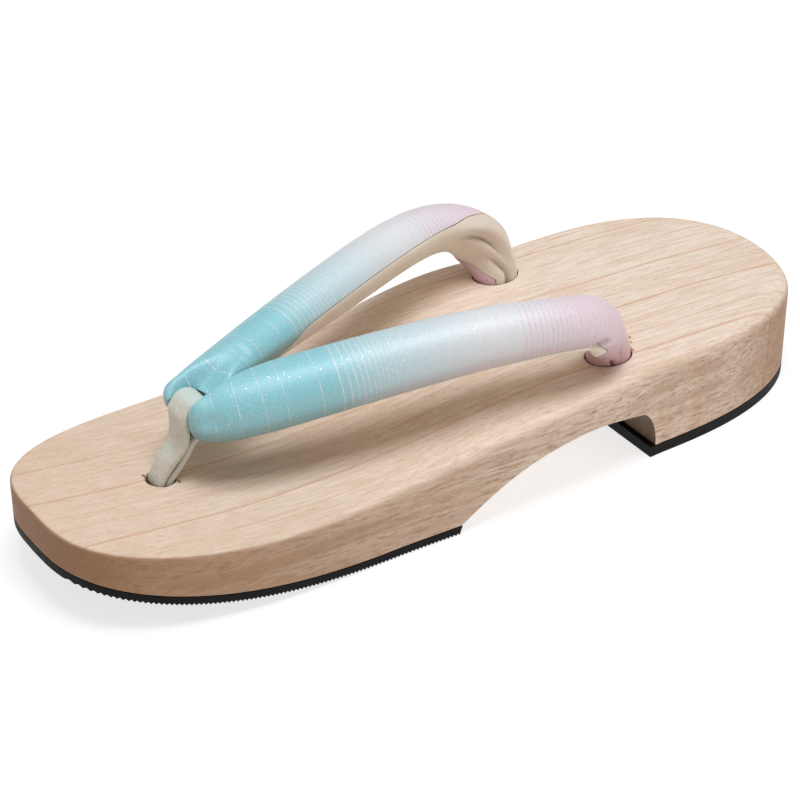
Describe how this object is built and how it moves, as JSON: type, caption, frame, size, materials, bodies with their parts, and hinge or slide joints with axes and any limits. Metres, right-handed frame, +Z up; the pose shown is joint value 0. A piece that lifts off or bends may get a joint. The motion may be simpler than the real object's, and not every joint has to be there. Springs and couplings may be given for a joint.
{
  "type": "geta sandal",
  "caption": "Low geta sandal with an arched one-piece wooden sole, rubber treads, a padded V strap and a felt toe thong.",
  "frame": {"origin": "middle of the footprint's box on the floor the sandal stands on", "axes": "+Z up, -Y towards the toe, +Y towards the heel, +X towards the wearer's left"},
  "size_m": [0.0862, 0.245, 0.0568],
  "materials": {
    "pale_wood": "bare sanded paulownia, straight grain along the foot",
    "black_rubber": "matt moulded rubber",
    "satin": "satin with fine metallic flecks, fading from sky blue through white to pink",
    "velvet": "short cream pile",
    "felt": "brushed grey-cream felt"
  },
  "bodies": {
    "root": {"deck": "pale_wood", "front_tread": "black_rubber", "heel_tread": "black_rubber", "strap": "satin", "left_lining": "velvet", "right_lining": "velvet", "thong": "felt"}
  },
  "joints": []
}
